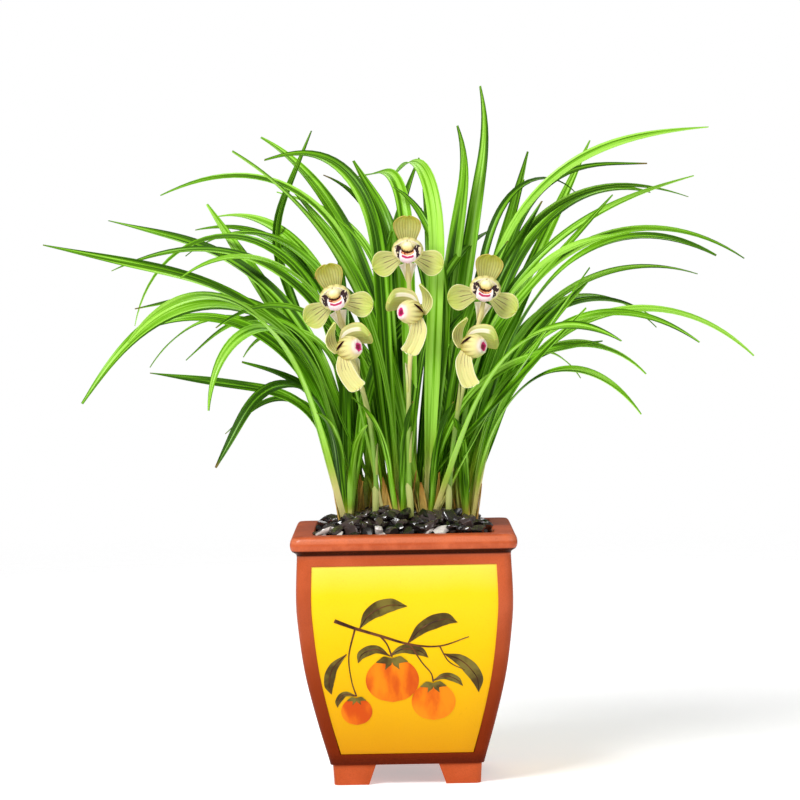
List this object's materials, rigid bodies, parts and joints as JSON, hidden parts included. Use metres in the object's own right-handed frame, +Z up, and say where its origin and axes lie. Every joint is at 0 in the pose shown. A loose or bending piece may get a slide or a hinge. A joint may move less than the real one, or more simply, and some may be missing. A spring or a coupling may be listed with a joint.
{
  "type": "potted orchid",
  "caption": "Square tapered clay pot with a glazed panel in each side, holding a cymbidium orchid with long arching leaves and pale green flowers, dressed with black pebbles.",
  "frame": {"origin": "on the ground under the middle of the pot", "axes": "+Z up, -Y towards the front of the pot, +X to its right as seen from the front"},
  "size_m": [0.6405, 0.4514, 0.6299],
  "materials": {
    "clay": "satin",
    "panel_glaze": "gloss",
    "net": "matte",
    "gravel": "matte",
    "bark_mix": "matte",
    "pebble": "gloss",
    "bulb": "satin",
    "leaf": "satin",
    "spike": "satin",
    "petal": "satin"
  },
  "bodies": {
    "root": {"pot_body": "clay", "panel_front": "panel_glaze", "panel_right": "panel_glaze", "panel_back": "panel_glaze", "panel_left": "panel_glaze", "drainage_net": "net", "drainage_gravel": "gravel", "potting_mix": "bark_mix", "pebble_dressing": "pebble", "clump_left": "bulb", "clump_middle": "bulb", "clump_right": "bulb", "leaf_01": "leaf", "leaf_02": "leaf", "leaf_03": "leaf", "leaf_04": "leaf", "leaf_05": "leaf", "leaf_06": "leaf", "leaf_07": "leaf", "leaf_08": "leaf", "leaf_09": "leaf", "leaf_10": "leaf", "leaf_11": "leaf", "leaf_12": "leaf", "leaf_13": "leaf", "leaf_14": "leaf", "leaf_15": "leaf", "leaf_16": "leaf", "leaf_17": "leaf", "leaf_18": "leaf", "leaf_19": "leaf", "leaf_20": "leaf", "leaf_21": "leaf", "leaf_22": "leaf", "leaf_23": "leaf", "leaf_24": "leaf", "leaf_25": "leaf", "leaf_26": "leaf", "leaf_27": "leaf", "leaf_28": "leaf", "leaf_29": "leaf", "leaf_30": "leaf", "leaf_31": "leaf", "leaf_32": "leaf", "leaf_33": "leaf", "leaf_34": "leaf", "leaf_35": "leaf", "leaf_36": "leaf", "leaf_37": "leaf", "leaf_38": "leaf", "leaf_39": "leaf", "flower_spike_left": "spike", "flower_spike_middle": "spike", "flower_spike_right": "spike", "flower_left_upper": "petal", "flower_left_lower": "petal", "flower_middle_upper": "petal", "flower_middle_lower": "petal", "flower_right_upper": "petal", "flower_right_lower": "petal"}
  },
  "joints": []
}
